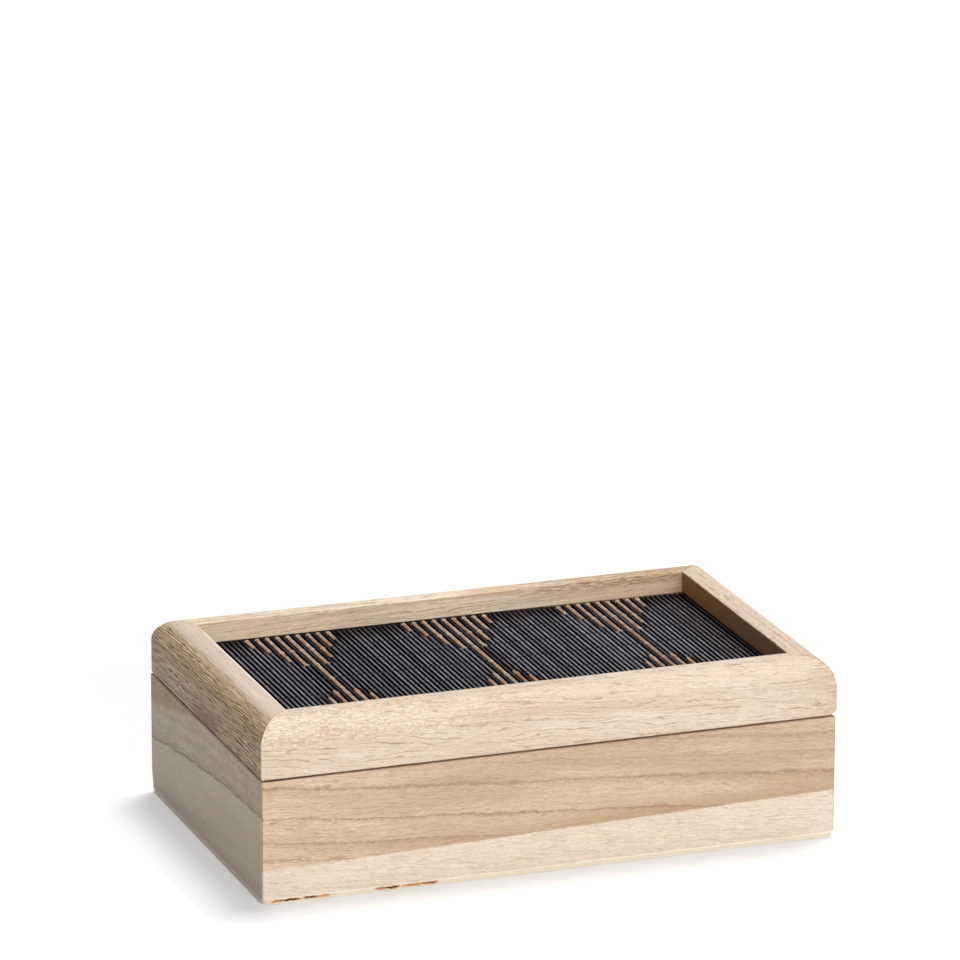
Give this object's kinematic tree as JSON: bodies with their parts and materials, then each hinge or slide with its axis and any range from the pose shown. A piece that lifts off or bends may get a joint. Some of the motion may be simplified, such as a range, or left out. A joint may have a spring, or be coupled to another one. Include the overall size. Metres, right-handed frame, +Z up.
{
  "type": "wooden storage box",
  "caption": "Low rectangular wooden box with mitred walls, a plywood base and a back-hinged lid whose rounded frame holds a patterned mat of thin reeds.",
  "frame": {"origin": "middle of the underside of the base, where the box stands on the table", "axes": "+X along the long front of the box to the right, +Y from the front to the hinges at the back, +Z up"},
  "size_m": [0.2808, 0.1688, 0.0868],
  "materials": {
    "wall_wood": "sanded, unvarnished",
    "lid_wood": "sanded, unvarnished",
    "plywood": "sanded",
    "black_reed": "dyed black, satin",
    "stepped_reed": "natural ends, dyed black in the middle",
    "natural_reed": "natural, satin",
    "hinge_brass": "satin",
    "screw_brass": "satin",
    "pin_steel": "bright drawn"
  },
  "bodies": {
    "box": {"front_wall": "wall_wood", "back_wall": "wall_wood", "left_wall": "wall_wood", "right_wall": "wall_wood", "base_panel": "plywood", "left_hinge_box_leaf": "hinge_brass", "right_hinge_box_leaf": "hinge_brass", "left_hinge_pin": "pin_steel", "right_hinge_pin": "pin_steel", "box_leaf_screws": "screw_brass"},
    "lid": {"lid_front_rail": "lid_wood", "lid_back_rail": "lid_wood", "lid_left_rail": "lid_wood", "lid_right_rail": "lid_wood", "lid_panel": "plywood", "black_reeds": "black_reed", "stepped_reeds": "stepped_reed", "natural_reeds": "natural_reed", "left_hinge_lid_leaf": "hinge_brass", "right_hinge_lid_leaf": "hinge_brass", "lid_leaf_screws": "screw_brass"}
  },
  "joints": [
    {"name": "lid_hinge", "type": "hinge", "parent": "box", "child": "lid", "pos_m": [0, 0.0822, 0.0594], "axis": [-1, 0, 0], "range_deg": [0, 100]}
  ]
}
